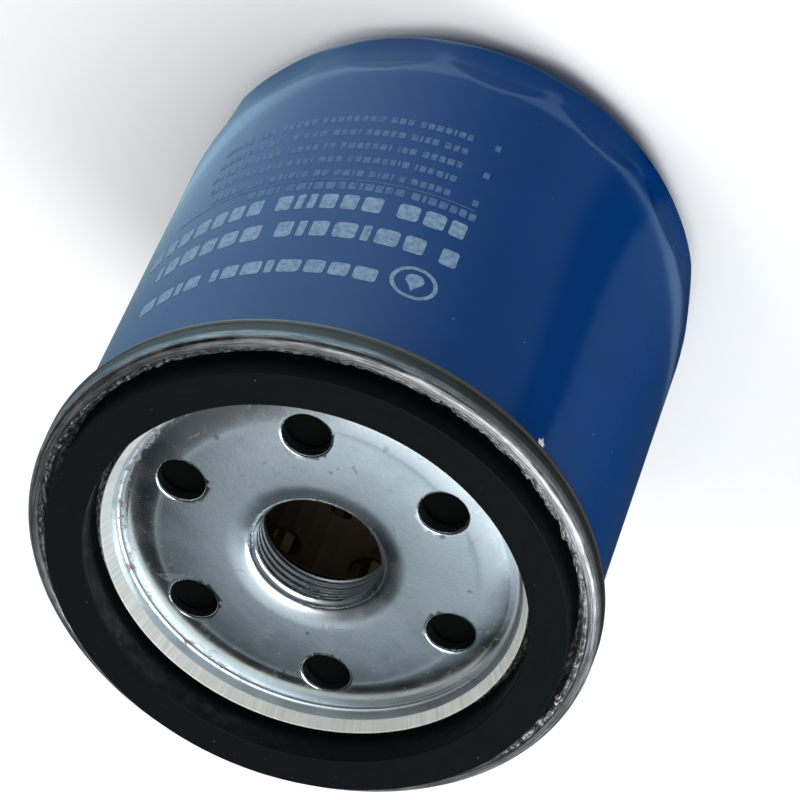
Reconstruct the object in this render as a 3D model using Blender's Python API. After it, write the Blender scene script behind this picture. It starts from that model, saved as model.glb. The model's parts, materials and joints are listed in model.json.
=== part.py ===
"""Spin-on oil filter: can, seamed base with its gasket, pleated element and bypass valve.

Metres, +Z up. The filter stands on its closed end with the gasket on top, and Z is the axis of every turned piece.
Lengths below are in millimetres and become metres as each mesh is made."""

import math

import bmesh
import bpy

MM = 0.001

# Driving dimensions
HEIGHT = 82.0  # closed end to the gasket's sealing face
CAN_RADIUS = 37.8
SEAM_RADIUS = 40.0
SHEET = 0.45  # can and lid steel
SHOULDER = 7.5  # rounding between the wall and the closed end
FLATS = 14  # wrench flats around the closed end
FLATS_PHASE = -74.0  # degrees, one edge between two flats
FLATS_TOP = 10.0  # height at which the flats run out into the wall
FLAT_DEPTH = 1.0  # at the middle of a flat, level with FLAT_DEEPEST
FLAT_DEEPEST = 2.5
END_RECESS = 0.8  # pressed in at the middle of the closed end
END_RECESS_RADIUS = 20.0

GASKET_OUTER, GASKET_INNER, GASKET_HEIGHT = 36.44, 31.0, 6.58
HEM_TOP = HEIGHT - 2.94  # top of the double seam
SEAM_BOTTOM = HEIGHT - 7.17
PLATE_TOP = HEIGHT - 6.37
PLATE_THICKNESS = 2.03
PLATE_EDGE_DROP = 0.7  # how far the plate's edge rolls down before the rim
RIM_TOP = HEIGHT - 4.6
RIM_OUTER, RIM_INNER = 29.95, 28.2  # the rim's inner face slopes between them
NECK_BORE = 8.7  # about the minor radius of a 3/4 inch thread
NECK_OUTER = 11.2
NECK_BOTTOM = HEIGHT - 12.4
INLETS = 6
INLET_CIRCLE, INLET_RADIUS = 21.04, 3.35
INLET_PHASE = -69.5  # degrees

ELEMENT_TOP, ELEMENT_BOTTOM = 66.2, 18.2  # outer faces of the two end caps
CAP_RADIUS, CAP_SHEET, CAP_SKIRT = 34.4, 0.5, 3.5
TUBE_RADIUS, TUBE_SHEET = 15.5, 0.6
TUBE_HOLE, TUBE_ROWS, TUBE_COLUMNS = 2.4, 4, 8
MEDIA_OUTER, MEDIA_INNER, PAPER = 32.6, 17.2, 0.5
PLEATS, CLIP_SECTOR = 40, 8.0  # the clip stands in a sector without pleats, in degrees
FIT = 0.3  # clearance between loose pieces

OUTER_STEPS = 84  # divides by the flats, the inlets and 4
INNER_STEPS = 40


def point(radius, degrees, z):
    angle = math.radians(degrees)
    return (radius * math.cos(angle) * MM, radius * math.sin(angle) * MM, z * MM)


def add_object(name, mesh_data):
    obj = bpy.data.objects.new(name, mesh_data)
    bpy.context.scene.collection.objects.link(obj)
    return obj


def from_bmesh(name, bm):
    """An object from the faces in bm, all turned to face outward."""
    bmesh.ops.recalc_face_normals(bm, faces=bm.faces)
    mesh = bpy.data.meshes.new(name)
    bm.to_mesh(mesh)
    bm.free()
    return add_object(name, mesh)


def turned(name, profile, steps=INNER_STEPS, reach=None):
    """A piece turned about Z from a closed outline of (radius, height) points. A point at radius 0 becomes one vertex.

    reach, if given, is a function of (radius, height, degrees) that returns the radius to use at that angle."""
    bm = bmesh.new()
    rings = []
    for radius, z in profile:
        if radius == 0:
            rings.append([bm.verts.new(point(0, 0, z))])
            continue
        ring = []
        for step in range(steps):
            degrees = 360 * step / steps
            at = reach(radius, z, degrees) if reach else radius
            ring.append(bm.verts.new(point(at, degrees, z)))
        rings.append(ring)
    for first, second in zip(rings, rings[1:] + rings[:1]):
        if len(first) == len(second) == 1:
            continue
        for step in range(steps):
            after = (step + 1) % steps
            if len(first) == 1:
                bm.faces.new((first[0], second[step], second[after]))
            elif len(second) == 1:
                bm.faces.new((first[step], second[0], first[after]))
            else:
                bm.faces.new((first[step], second[step], second[after], first[after]))
    return from_bmesh(name, bm)


def prism(name, outline, bottom, top):
    """A flat outline of (x, y) points, drawn up from bottom to top."""
    bm = bmesh.new()
    low, high = (
        [bm.verts.new((x * MM, y * MM, z * MM)) for x, y in outline]
        for z in (bottom, top)
    )
    for index, vertex in enumerate(low):
        after = (index + 1) % len(low)
        bm.faces.new((vertex, low[after], high[after], high[index]))
    for cap in (bm.faces.new(low), bm.faces.new(high)):
        bmesh.ops.triangulate(bm, faces=[cap])
    return from_bmesh(name, bm)


def coil(name, radius, wire, bottom, top, turns, sides=6, per_turn=16):
    """A coil spring of round wire. Its centre line runs from bottom + wire to top - wire, with a level half turn at each end."""
    bm = bmesh.new()
    low, high = bottom + wire, top - wire
    rings = []
    count = int(turns * per_turn)
    for step in range(count + 1):
        turn = step / per_turn
        climb = min(max((turn - 0.5) / (turns - 1), 0), 1)
        degrees = 360 * turn
        centre = low + (high - low) * climb
        ring = []
        for side in range(sides):
            around = 2 * math.pi * side / sides
            ring.append(
                bm.verts.new(
                    point(
                        radius + wire * math.cos(around),
                        degrees,
                        centre + wire * math.sin(around),
                    )
                )
            )
        rings.append(ring)
    for first, second in zip(rings, rings[1:]):
        for side in range(sides):
            after = (side + 1) % sides
            bm.faces.new((first[side], first[after], second[after], second[side]))
    bm.faces.new(rings[0])
    bm.faces.new(rings[-1])
    return from_bmesh(name, bm)


def cut(target, cutters):
    """Cuts the cutters from the target in one pass, then removes them."""
    bpy.ops.object.select_all(action="DESELECT")
    for cutter in cutters:
        cutter.select_set(True)
    bpy.context.view_layer.objects.active = cutters[0]
    if len(cutters) > 1:
        bpy.ops.object.join()
    joined = bpy.context.view_layer.objects.active
    modifier = target.modifiers.new("cut", "BOOLEAN")
    modifier.operation, modifier.solver, modifier.object = "DIFFERENCE", "EXACT", joined
    bpy.context.view_layer.objects.active = target
    bpy.ops.object.modifier_apply(modifier=modifier.name)
    bpy.data.objects.remove(joined)


def post(x, y, radius, bottom, top, sides=20):
    """An upright round cutter."""
    outline = [
        (
            x + radius * math.cos(2 * math.pi * side / sides),
            y + radius * math.sin(2 * math.pi * side / sides),
        )
        for side in range(sides)
    ]
    return prism("cutter", outline, bottom, top)


def radial_box(inner, outer, degrees, width, bottom, top):
    """A box cutter that runs outward along the direction at this angle."""
    angle = math.radians(degrees)
    along, across = (math.cos(angle), math.sin(angle)), (-math.sin(angle), math.cos(angle))
    outline = [
        (r * along[0] + w * across[0], r * along[1] + w * across[1])
        for r, w in (
            (inner, -width / 2),
            (outer, -width / 2),
            (outer, width / 2),
            (inner, width / 2),
        )
    ]
    return prism("cutter", outline, bottom, top)


def radial_post(inner, outer, degrees, z, radius, sides=8):
    """A round cutter that lies along the direction at this angle."""
    bm = bmesh.new()
    angle = math.radians(degrees)
    ends = []
    for reach in (inner, outer):
        ring = []
        for side in range(sides):
            around = 2 * math.pi * (side + 0.5) / sides
            across, up = radius * math.cos(around), radius * math.sin(around)
            ring.append(
                bm.verts.new(
                    (
                        (reach * math.cos(angle) - across * math.sin(angle)) * MM,
                        (reach * math.sin(angle) + across * math.cos(angle)) * MM,
                        (z + up) * MM,
                    )
                )
            )
        ends.append(ring)
    for side in range(sides):
        after = (side + 1) % sides
        bm.faces.new((ends[0][side], ends[0][after], ends[1][after], ends[1][side]))
    bm.faces.new(ends[0])
    bm.faces.new(ends[1])
    return from_bmesh("cutter", bm)


def flat_reach(radius, z, degrees, inset=0.0):
    """The radius once the wrench flats are pressed in. Each flat is a plane that leans in toward the closed end.

    inset moves the planes in, for the inner side of the sheet."""
    if z >= FLATS_TOP:
        return radius
    pitch = 360 / FLATS
    off_centre = (degrees - FLATS_PHASE) % pitch - pitch / 2
    depth = FLAT_DEPTH * (FLATS_TOP - z) / (FLATS_TOP - FLAT_DEEPEST)
    plane = (CAN_RADIUS - inset - depth) / math.cos(math.radians(off_centre))
    return min(radius, plane)


def shoulder(radius, rounding, floor, steps=5):
    """Points down the rounding from the wall to the closed end, without the point on the wall."""
    return [
        (
            radius - rounding * (1 - math.cos(math.radians(90 * step / steps))),
            floor + rounding * (1 - math.sin(math.radians(90 * step / steps))),
        )
        for step in range(1, steps + 1)
    ]


def make_can():
    """Deep-drawn can. Its open end flares out and hooks down inside the double seam."""
    inner = CAN_RADIUS - SHEET
    flange = 38.05  # inner radius of the flange inside the seam
    outer_wall = [
        (flange + SHEET, SEAM_BOTTOM + 0.1),
        (CAN_RADIUS, SEAM_BOTTOM - 1.4),
        (CAN_RADIUS, FLATS_TOP),
        (CAN_RADIUS, SHOULDER),
    ]
    inner_wall = [
        (inner, SHOULDER),
        (inner, FLATS_TOP),
        (inner, SEAM_BOTTOM - 1.4),
        (flange, SEAM_BOTTOM + 0.3),
    ]
    hook = [
        (flange, HEM_TOP - 0.86),
        (39.3, HEM_TOP - 0.86),
        (39.3, SEAM_BOTTOM + 0.92),
        (38.85, SEAM_BOTTOM + 0.92),
        (38.85, HEM_TOP - 1.31),
        (flange + SHEET, HEM_TOP - 1.31),
    ]
    recess = [
        (END_RECESS_RADIUS + 1.0, 0),
        (END_RECESS_RADIUS, END_RECESS),
        (0, END_RECESS),
        (0, END_RECESS + SHEET),
        (END_RECESS_RADIUS + 0.2, END_RECESS + SHEET),
        (END_RECESS_RADIUS + 1.2, SHEET),
    ]
    outside = shoulder(CAN_RADIUS, SHOULDER, 0)
    inside = shoulder(inner, SHOULDER - SHEET, SHEET)

    inner_points = set(inside + inner_wall)

    def reach(radius, z, degrees):
        return flat_reach(
            radius, z, degrees, SHEET if (radius, z) in inner_points else 0
        )

    profile = hook + outer_wall + outside + recess + inside[::-1] + inner_wall
    return turned("can", profile, OUTER_STEPS, reach)


def make_seaming_lid():
    """Thin ring: welded under the base plate, stepped up into the gasket channel, then folded over the can's flange."""
    under = PLATE_TOP - PLATE_THICKNESS - 0.05
    floor = HEIGHT - GASKET_HEIGHT - 0.02
    profile = [
        (27.2, under - 0.5),
        (30.75, under - 0.5),
        (30.75, floor - 0.5),
        (37.0, floor - 0.5),
        (37.9, floor + 0.4),
        (37.9, HEM_TOP - 0.61),
        (39.5, HEM_TOP - 0.61),
        (39.5, SEAM_BOTTOM + 0.5),
        (38.75, SEAM_BOTTOM + 0.5),
        (38.75, SEAM_BOTTOM),
        (39.7, SEAM_BOTTOM),
        (SEAM_RADIUS, SEAM_BOTTOM + 0.3),
        (SEAM_RADIUS, HEM_TOP - 1.1),
        (39.7, HEM_TOP - 0.4),
        (39.0, HEM_TOP),
        (37.67, HEM_TOP),
        (37.45, HEM_TOP - 0.25),
        (37.45, floor + 0.6),
        (37.1, floor),
        (30.2, floor),
        (30.2, under),
        (27.2, under),
    ]
    return turned("seaming_lid", profile, OUTER_STEPS)


def make_seam_compound():
    """Sealing compound between the top of the can's flange and the fold of the lid."""
    profile = [
        (38.1, HEM_TOP - 0.81),
        (39.3, HEM_TOP - 0.81),
        (39.3, HEM_TOP - 0.66),
        (38.1, HEM_TOP - 0.66),
    ]
    return turned("seam_compound", profile, OUTER_STEPS)


def make_base_plate():
    """Thick plate with a rolled-off edge, a raised rim with a sloping cut face, a drawn neck and six inlet holes."""
    bottom = PLATE_TOP - PLATE_THICKNESS
    profile = [
        (RIM_OUTER, bottom + 0.4),
        (RIM_OUTER, RIM_TOP),
        (RIM_OUTER - 0.3, RIM_TOP),
        (RIM_INNER, PLATE_TOP - PLATE_EDGE_DROP),
        (RIM_INNER - 0.5, PLATE_TOP - PLATE_EDGE_DROP - 0.02),
        (RIM_INNER - 1.2, PLATE_TOP - PLATE_EDGE_DROP * 0.65),
        (RIM_INNER - 2.2, PLATE_TOP - PLATE_EDGE_DROP * 0.2),
        (RIM_INNER - 3.4, PLATE_TOP),
        (12.6, PLATE_TOP),
        (11.0, PLATE_TOP - 0.18),
        (9.9, PLATE_TOP - 0.6),
        (9.3, PLATE_TOP - 1.2),
        (NECK_BORE, PLATE_TOP - 1.75),
        (NECK_BORE, NECK_BOTTOM + 0.5),
        (NECK_BORE + 0.5, NECK_BOTTOM),
        (NECK_OUTER - 0.4, NECK_BOTTOM),
        (NECK_OUTER, NECK_BOTTOM + 0.4),
        (NECK_OUTER, bottom - 0.6),
        (NECK_OUTER + 0.6, bottom),
        (RIM_OUTER - 0.4, bottom),
    ]
    plate = turned("base_plate", profile, OUTER_STEPS)
    holes = []
    for index in range(INLETS):
        angle = math.radians(INLET_PHASE + 360 * index / INLETS)
        x, y = INLET_CIRCLE * math.cos(angle), INLET_CIRCLE * math.sin(angle)
        holes.append(post(x, y, INLET_RADIUS, bottom - 2, PLATE_TOP + 2))
    cut(plate, holes)
    return plate


def make_gasket():
    low, edge = HEIGHT - GASKET_HEIGHT, 0.25
    profile = [
        (GASKET_INNER, low),
        (GASKET_OUTER, low),
        (GASKET_OUTER, HEIGHT - edge),
        (GASKET_OUTER - edge, HEIGHT),
        (GASKET_INNER + edge, HEIGHT),
        (GASKET_INNER, HEIGHT - edge),
    ]
    return turned("sealing_gasket", profile, OUTER_STEPS)


def make_drainback_valve():
    """Rubber collar around the neck, with a flap whose lip lies under the plate outside the inlet holes."""
    under = PLATE_TOP - PLATE_THICKNESS
    collar = NECK_OUTER + FIT
    profile = [
        (collar, ELEMENT_TOP + 0.1),
        (13.3, ELEMENT_TOP + 0.1),
        (13.3, under - 2.0),
        (14.2, under - 1.4),
        (24.0, under - 1.2),
        (26.6, under - 0.7),
        (26.6, under - 0.1),
        (24.8, under - 0.1),
        (23.8, under - 0.4),
        (14.0, under - 0.6),
        (12.6, under - 0.4),
        (12.2, under - 0.4),
        (collar, under - 1.0),
    ]
    return turned("drainback_valve", profile)


def make_valve_ring():
    top = PLATE_TOP - PLATE_THICKNESS - 1.75
    profile = [(13.7, top - 0.5), (19.0, top - 0.5), (19.0, top), (13.7, top)]
    return turned("valve_ring", profile)


def end_cap(name, face, inward, bore):
    """A disc with its outer edge turned over the paper. inward is -1 for the top cap and 1 for the bottom cap."""
    back, skirt = face + inward * CAP_SHEET, face + inward * CAP_SKIRT
    profile = [
        (bore, face),
        (CAP_RADIUS - 0.3, face),
        (CAP_RADIUS, face + inward * 0.3),
        (CAP_RADIUS, skirt),
        (CAP_RADIUS - CAP_SHEET, skirt),
        (CAP_RADIUS - CAP_SHEET, back),
        (bore, back),
    ]
    return turned(name, profile, 48)


def potting(name, face, inward):
    near, far = (
        face + inward * (CAP_SHEET + FIT),
        face + inward * (CAP_SHEET + FIT + 1.0),
    )
    inner, outer = TUBE_RADIUS + 0.5, CAP_RADIUS - CAP_SHEET - 0.5
    return turned(
        name, [(inner, near), (outer, near), (outer, far), (inner, far)], 48
    )


def make_centre_tube():
    bottom = ELEMENT_BOTTOM + CAP_SHEET + FIT
    top = ELEMENT_TOP - CAP_SHEET - FIT
    inner = TUBE_RADIUS - TUBE_SHEET
    tube = turned(
        "centre_tube",
        [(inner, bottom), (TUBE_RADIUS, bottom), (TUBE_RADIUS, top), (inner, top)],
    )
    spacing = (top - bottom) / TUBE_ROWS
    holes = []
    for row in range(TUBE_ROWS):
        for column in range(TUBE_COLUMNS):
            degrees = 360 * (column + 0.5 * (row % 2)) / TUBE_COLUMNS + 4.5
            z = bottom + spacing * (row + 0.5)
            holes.append(
                radial_post(inner - 2, TUBE_RADIUS + 2, degrees, z, TUBE_HOLE)
            )
    cut(tube, holes)
    return tube


def offset_line(line, distance):
    """The line moved sideways by distance, mitred at its corners."""
    moved = []
    for index, (x, y) in enumerate(line):
        directions = []
        for first, second in ((index - 1, index), (index, index + 1)):
            if first < 0 or second >= len(line):
                continue
            dx, dy = line[second][0] - line[first][0], line[second][1] - line[first][1]
            length = math.hypot(dx, dy)
            directions.append((-dy / length, dx / length))
        nx = sum(direction[0] for direction in directions)
        ny = sum(direction[1] for direction in directions)
        length = math.hypot(nx, ny)
        nx, ny = nx / length, ny / length
        along = nx * directions[0][0] + ny * directions[0][1]
        moved.append((x + nx * distance / along, y + ny * distance / along))
    return moved


def make_media():
    """Pleated paper. Its two ends meet in the sector left free for the clip, at angle 0."""
    pitch = (360 - CLIP_SECTOR) / PLEATS
    outer_half, inner_half = 1.1, 1.6  # degrees, half of each flat fold
    start = CLIP_SECTOR / 2
    line = []
    for index in range(PLEATS):
        outer_at = start + pitch * (index + 0.5)
        if index:
            inner_at = start + pitch * index
            line += [(MEDIA_INNER, inner_at - inner_half), (MEDIA_INNER, inner_at + inner_half)]
        line += [(MEDIA_OUTER, outer_at - outer_half), (MEDIA_OUTER, outer_at + outer_half)]
    end_angle = math.degrees(0.55 / MEDIA_OUTER)
    inner_angle = math.degrees(0.55 / (MEDIA_INNER + 1))
    first = [(MEDIA_OUTER - 1, end_angle), (MEDIA_INNER + 1, inner_angle), (MEDIA_INNER, start - 1.0)]
    last = [(radius, 360 - degrees) for radius, degrees in reversed(first)]
    path = [
        (radius * math.cos(math.radians(degrees)), radius * math.sin(math.radians(degrees)))
        for radius, degrees in first + line + last
    ]
    half = PAPER / 2
    outline = offset_line(path, half) + offset_line(path, -half)[::-1]
    bottom = ELEMENT_BOTTOM + CAP_SHEET + 2 * FIT + 1.0
    top = ELEMENT_TOP - CAP_SHEET - 2 * FIT - 1.0
    return prism("pleated_media", outline, bottom, top)


def make_media_clip():
    """A folded steel channel over the paper's two ends, with rounded bends."""
    half_outer, sheet, bend, steps = 1.5, 0.4, 0.8, 4
    web_outer, open_end = MEDIA_OUTER + 0.3, MEDIA_OUTER - 4.5
    outer, inner = [], []
    for step in range(steps + 1):
        angle = math.radians(90 * step / steps)
        across, along = math.cos(angle), math.sin(angle)
        for wall, radius in ((outer, bend), (inner, bend - sheet)):
            wall.append(
                (
                    web_outer - bend + radius * along,
                    half_outer - bend + radius * across,
                )
            )
    outline = [(open_end, half_outer)] + outer
    outline += [(x, -y) for x, y in reversed(outline)]
    lining = [(open_end, half_outer - sheet)] + inner
    lining += [(x, -y) for x, y in reversed(lining)]
    outline += reversed(lining)
    bottom = ELEMENT_BOTTOM + CAP_SHEET + 2 * FIT + 1.0
    top = ELEMENT_TOP - CAP_SHEET - 2 * FIT - 1.0
    return prism("media_clip", outline, bottom, top)


def make_bypass():
    """Seat, cage, disc, seal, stem, clip and spring of the bypass valve, in the middle of the bottom cap."""
    cap_top = ELEMENT_BOTTOM + CAP_SHEET
    seat_top = cap_top + 0.9
    cage_top = 31.0
    turned(
        "bypass_seat",
        [
            (7.0, ELEMENT_BOTTOM - 0.9),
            (11.8, ELEMENT_BOTTOM - 0.9),
            (11.8, ELEMENT_BOTTOM - FIT),
            (10.2, ELEMENT_BOTTOM - FIT),
            (10.2, seat_top),
            (7.0, seat_top),
        ],
    )
    cage = turned(
        "bypass_cage",
        [
            (11.9, cap_top + FIT),
            (14.2, cap_top + FIT),
            (14.2, cap_top + FIT + 0.6),
            (12.5, cap_top + FIT + 0.6),
            (12.5, cage_top),
            (2.3, cage_top),
            (2.3, cage_top - 0.6),
            (11.9, cage_top - 0.6),
        ],
    )
    cut(
        cage,
        [
            radial_box(8, 13.6, 45 + 90 * index, 9, cap_top + 2.6, cage_top - 2.4)
            for index in range(4)
        ],
    )
    seal_bottom = seat_top + 0.05
    seal_top = seal_bottom + 1.0
    disc_top = seal_top + 0.9
    turned(
        "bypass_seal",
        [(2.2, seal_bottom), (9.0, seal_bottom), (9.0, seal_top), (2.2, seal_top)],
    )
    turned(
        "bypass_disc",
        [
            (2.2, seal_top + 0.05),
            (9.3, seal_top + 0.05),
            (9.3, disc_top - 0.2),
            (9.1, disc_top),
            (2.2, disc_top),
        ],
    )
    stem_top = cage_top + 3.0
    turned(
        "bypass_stem",
        [
            (0, seal_bottom - 1.4),
            (3.0, seal_bottom - 1.4),
            (3.4, seal_bottom - 1.0),
            (3.4, seal_bottom - 0.1),
            (1.85, seal_bottom - 0.1),
            (1.85, stem_top - 1.5),
            (1.3, stem_top - 1.5),
            (1.3, stem_top - 0.8),
            (1.85, stem_top - 0.8),
            (1.85, stem_top - 0.2),
            (1.65, stem_top),
            (0, stem_top),
        ],
        24,
    )
    turned(
        "stem_clip",
        [
            (1.5, stem_top - 1.4),
            (3.1, stem_top - 1.4),
            (3.1, stem_top - 0.9),
            (1.5, stem_top - 0.9),
        ],
        24,
    )
    coil("bypass_spring", 6.4, 0.5, disc_top + 0.15, cage_top - 0.75, 4)


def make_element_support():
    """The element's spring, with the plate below it and the cup above it."""
    floor = END_RECESS + SHEET + 0.05
    under = ELEMENT_BOTTOM - FIT
    turned(
        "spring_plate",
        [
            (11.0, floor),
            (18.4, floor),
            (18.4, floor + 1.8),
            (17.9, floor + 1.8),
            (17.9, floor + 0.5),
            (11.0, floor + 0.5),
        ],
    )
    turned(
        "spring_cup",
        [
            (12.3, under - 3.6),
            (12.8, under - 3.6),
            (12.8, under - 0.5),
            (18.6, under - 0.5),
            (18.6, under),
            (12.3, under),
        ],
    )
    coil("element_spring", 15.3, 0.9, floor + 0.6, under - 0.6, 4)


def main():
    for obj in list(bpy.data.objects):
        bpy.data.objects.remove(obj)
    scene = bpy.context.scene
    scene.unit_settings.system = "METRIC"
    scene.unit_settings.scale_length = 1.0

    make_can()
    make_seaming_lid()
    make_seam_compound()
    make_base_plate()
    make_gasket()
    make_drainback_valve()
    make_valve_ring()
    end_cap("end_cap_top", ELEMENT_TOP, -1, 11.8)
    end_cap("end_cap_bottom", ELEMENT_BOTTOM, 1, 10.5)
    potting("potting_top", ELEMENT_TOP, -1)
    potting("potting_bottom", ELEMENT_BOTTOM, 1)
    make_centre_tube()
    make_media()
    make_media_clip()
    make_bypass()
    make_element_support()


main()
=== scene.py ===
"""Looks of the spin-on oil filter: smooth turned meshes, procedural materials, studio and camera.

The filter's lengths are in millimetres along its own axes, as in the CAD, and become metres as each
mesh is made. The floor, the lamps and the camera are in metres."""

import functools
import json
import math
import random

import bmesh
import bpy
import numpy as np
from mathutils import Matrix, Vector, noise


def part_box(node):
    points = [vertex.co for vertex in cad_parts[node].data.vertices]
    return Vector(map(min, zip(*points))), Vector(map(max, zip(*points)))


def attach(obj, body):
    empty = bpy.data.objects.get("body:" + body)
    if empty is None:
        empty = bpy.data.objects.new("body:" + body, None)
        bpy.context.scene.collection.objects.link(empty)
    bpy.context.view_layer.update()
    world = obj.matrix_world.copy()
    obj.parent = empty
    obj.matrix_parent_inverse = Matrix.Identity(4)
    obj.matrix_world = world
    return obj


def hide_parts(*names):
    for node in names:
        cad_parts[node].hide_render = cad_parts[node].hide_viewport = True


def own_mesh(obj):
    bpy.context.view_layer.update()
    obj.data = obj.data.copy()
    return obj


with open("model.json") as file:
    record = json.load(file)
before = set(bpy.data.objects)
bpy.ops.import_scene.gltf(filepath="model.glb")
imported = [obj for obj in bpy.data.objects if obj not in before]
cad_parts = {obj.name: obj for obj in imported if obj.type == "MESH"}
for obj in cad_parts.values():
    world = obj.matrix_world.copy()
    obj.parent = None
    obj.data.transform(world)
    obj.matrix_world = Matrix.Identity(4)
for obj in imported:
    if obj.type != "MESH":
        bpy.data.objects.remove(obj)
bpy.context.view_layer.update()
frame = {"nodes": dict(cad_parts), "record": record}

MM = 0.001


def millimetres(node):
    """(bottom, top, outer radius) of a CAD node."""
    low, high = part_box(node)
    return low.z / MM, high.z / MM, high.x / MM


# Levels and radii, from the frame
CAN_RADIUS = 37.8
CAN_SHEET = 0.45
_, GASKET_TOP, GASKET_OUTER = millimetres("sealing_gasket")
_, SEAM_TOP, _ = millimetres("seaming_lid")
SEAM_BOTTOM = GASKET_TOP - 7.17
NECK_BOTTOM, RIM_TOP, RIM_OUTER = millimetres("base_plate")
GASKET_INNER, GASKET_HEIGHT = 31.0, 6.58
PLATE_TOP = GASKET_TOP - 6.37
PLATE_THICKNESS = 2.03

# Closed end
SHOULDER = 7.5
FLATS, FLATS_PHASE = 14, -74.0
FLATS_TOP, FLATS_FADE = 11.6, 2.3  # the flats fade out over this length either side of their top
FLAT_DEPTH = 1.0
NECK_IN = 0.2  # the can is also this much narrower between its flats
END_RECESS, END_RECESS_RADIUS = 0.8, 20.0

# Base plate
EDGE_DROP, EDGE_START, RIM_FOOT = 1.15, 22.6, 28.2
DOME = 0.28  # how far the plate falls from its neck to the start of its rolled-off edge
RIM_BREAK, RIM_BREAK_HEIGHT = 28.8, 75.75
INLETS, INLET_CIRCLE, INLET_RADIUS, INLET_PHASE = 6, 21.04, 3.35, -69.5
NECK_ENTRY_RADIUS, NECK_ENTRY_DROP = 12.9, 0.9
NECK_MOUTH, THREAD_ROOT, THREAD_CREST, THREAD_PITCH = 9.5, 9.04, 8.75, 1.15
NECK_OUTER = 11.2

# Printing on the can: where its rows begin, in degrees, and the small rows' height and spacing
PRINT_START = -93.0
ROW_TOP, ROW_PITCH = 38.9, 3.25

# A small pale spot on the paint beside the seam
PALE_SPOT_ANGLE, PALE_SPOT_HEIGHT = -124.8, 71.9


# ---------------------------------------------------------------- meshes


def finish_mesh(obj, sharp=35.0):
    """Smooth shading, with edges sharper than this angle left crisp."""
    obj.data.polygons.foreach_set("use_smooth", [True] * len(obj.data.polygons))
    obj.data.set_sharp_from_angle(angle=math.radians(sharp))
    weighted = obj.modifiers.new("weighted_normals", "WEIGHTED_NORMAL")
    weighted.keep_sharp = True
    return obj


def new_object(name, verts, faces):
    mesh = bpy.data.meshes.new(name)
    mesh.from_pydata(np.asarray(verts, float).tolist(), [], faces)
    mesh.update()
    obj = bpy.data.objects.new(name, mesh)
    bpy.context.scene.collection.objects.link(obj)
    return obj


def rounded(corners, segments=6):
    """An outline of (radius, height) points. A corner is (radius, height) or (radius, height, rounding)."""
    outline = []
    count = len(corners)
    for index, corner in enumerate(corners):
        here = np.array(corner[:2], float)
        rounding = corner[2] if len(corner) > 2 else 0.0
        if not rounding:
            outline.append(tuple(here))
            continue
        back = np.array(corners[index - 1][:2], float) - here
        ahead = np.array(corners[(index + 1) % count][:2], float) - here
        back, ahead = back / np.linalg.norm(back), ahead / np.linalg.norm(ahead)
        half = math.acos(np.clip(back @ ahead, -1, 1)) / 2
        along = rounding / math.tan(half)
        middle = here + (back + ahead) / np.linalg.norm(back + ahead) * rounding / math.sin(half)
        first, last = here + back * along - middle, here + ahead * along - middle
        turn = math.atan2(first[0] * last[1] - first[1] * last[0], first @ last)
        for step in range(segments + 1):
            angle = turn * step / segments
            c, s = math.cos(angle), math.sin(angle)
            outline.append(
                (
                    middle[0] + c * first[0] - s * first[1],
                    middle[1] + s * first[0] + c * first[1],
                )
            )
    return outline


def turned(name, outline, steps, shape=None, closed=True):
    """A mesh turned about Z from an outline of (radius, height) points.

    An outline that isn't closed gets a flat cap at each end. shape, if given, takes arrays of radius,
    height and angle in degrees, and returns the radius and height to use."""
    outline = np.array(outline, float)
    degrees = np.arange(steps) * 360.0 / steps
    radius = np.repeat(outline[:, :1], steps, axis=1)
    height = np.repeat(outline[:, 1:], steps, axis=1)
    around = np.repeat(degrees[None, :], len(outline), axis=0)
    if shape:
        radius, height = shape(radius, height, around)
    angle = np.radians(around)
    verts = np.stack([radius * np.cos(angle), radius * np.sin(angle), height], -1)
    faces = []
    rows = len(outline)
    for row in range(rows if closed else rows - 1):
        below, above = row * steps, (row + 1) % rows * steps
        for step in range(steps):
            after = (step + 1) % steps
            faces.append((below + step, below + after, above + after, above + step))
    if not closed:
        faces.append(tuple(range(steps - 1, -1, -1)))
        faces.append(tuple((rows - 1) * steps + step for step in range(steps)))
    obj = new_object(name, verts.reshape(-1, 3) * MM, faces)
    outward(obj)
    return obj


def outward(obj):
    bm = bmesh.new()
    bm.from_mesh(obj.data)
    bmesh.ops.recalc_face_normals(bm, faces=bm.faces)
    bm.to_mesh(obj.data)
    bm.free()


def soft_min(a, b, blend):
    """The smaller of a and b, with the crossing rounded over this length."""
    share = np.clip(0.5 + 0.5 * (b - a) / blend, 0, 1)
    return b * (1 - share) + a * share - blend * share * (1 - share)


def between(first, last, count):
    return [
        tuple(np.array(first) + (np.array(last) - np.array(first)) * step / count)
        for step in range(1, count)
    ]


def ragged(degrees, roughness, seed):
    """Noise round a ring, from -1 to 1, with this many bumps per turn."""
    scale = roughness / (2 * math.pi)
    return np.array(
        [
            noise.fractal(
                Vector((math.cos(math.radians(d)) * scale, math.sin(math.radians(d)) * scale, seed)),
                0.8,
                2.0,
                3,
            )
            for d in degrees
        ]
    )


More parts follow.
